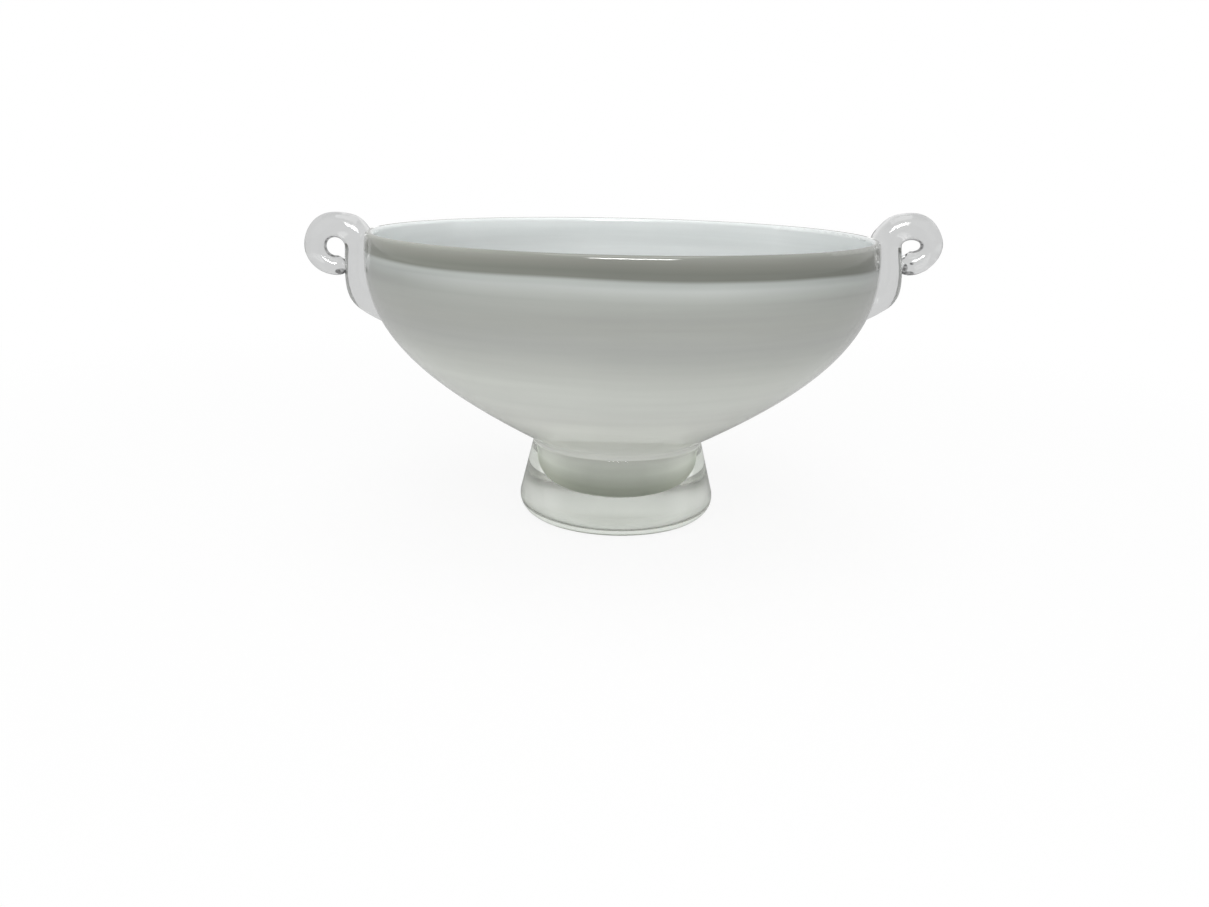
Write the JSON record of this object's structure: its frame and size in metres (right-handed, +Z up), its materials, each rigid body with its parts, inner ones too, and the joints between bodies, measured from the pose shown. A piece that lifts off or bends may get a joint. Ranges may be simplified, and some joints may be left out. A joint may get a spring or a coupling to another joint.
{
  "type": "footed glass centrepiece bowl with scroll handles",
  "caption": "Wide opal glass bowl on a solid clear glass pedestal foot, with a clear glass scroll handle at each side.",
  "frame": {"origin": "centre of the foot's flat base, on the surface that the bowl stands on", "axes": "+Z up along the bowl's axis; the handles point along -X (handle_left) and +X (handle_right)"},
  "size_m": [0.318, 0.2522, 0.1571],
  "materials": {
    "opal_glass": "polished grey-white opal glass with a clear gloss",
    "clear_glass": "polished clear glass with a faint grey-green tint"
  },
  "bodies": {
    "root": {"bowl": "opal_glass", "foot": "clear_glass", "handle_left": "clear_glass", "handle_right": "clear_glass"}
  },
  "joints": []
}
